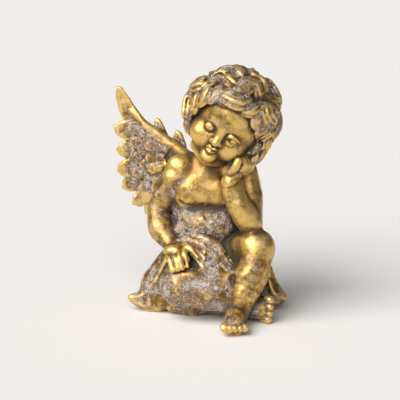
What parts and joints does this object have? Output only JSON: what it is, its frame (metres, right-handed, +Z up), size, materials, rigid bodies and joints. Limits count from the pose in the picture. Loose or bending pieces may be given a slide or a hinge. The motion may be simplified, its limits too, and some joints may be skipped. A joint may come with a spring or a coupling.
{
  "type": "angel statue",
  "caption": "Seated winged cherub figurine in antique gold, cheek resting on a raised fist, on a cushion of gathered cloth; a table or shelf ornament.",
  "frame": {"origin": "on the flat underside of the cushion, below the seated figure", "axes": "-Y the way the figure faces, +X towards its left hand, +Z up"},
  "size_m": [0.1778, 0.176, 0.25],
  "materials": {
    "antique_gold": "cast resin painted antique gold, rubbed with a pale grey-lilac wash and dark brown in the hollows"
  },
  "bodies": {
    "root": {"cherub": "antique_gold"}
  },
  "joints": []
}
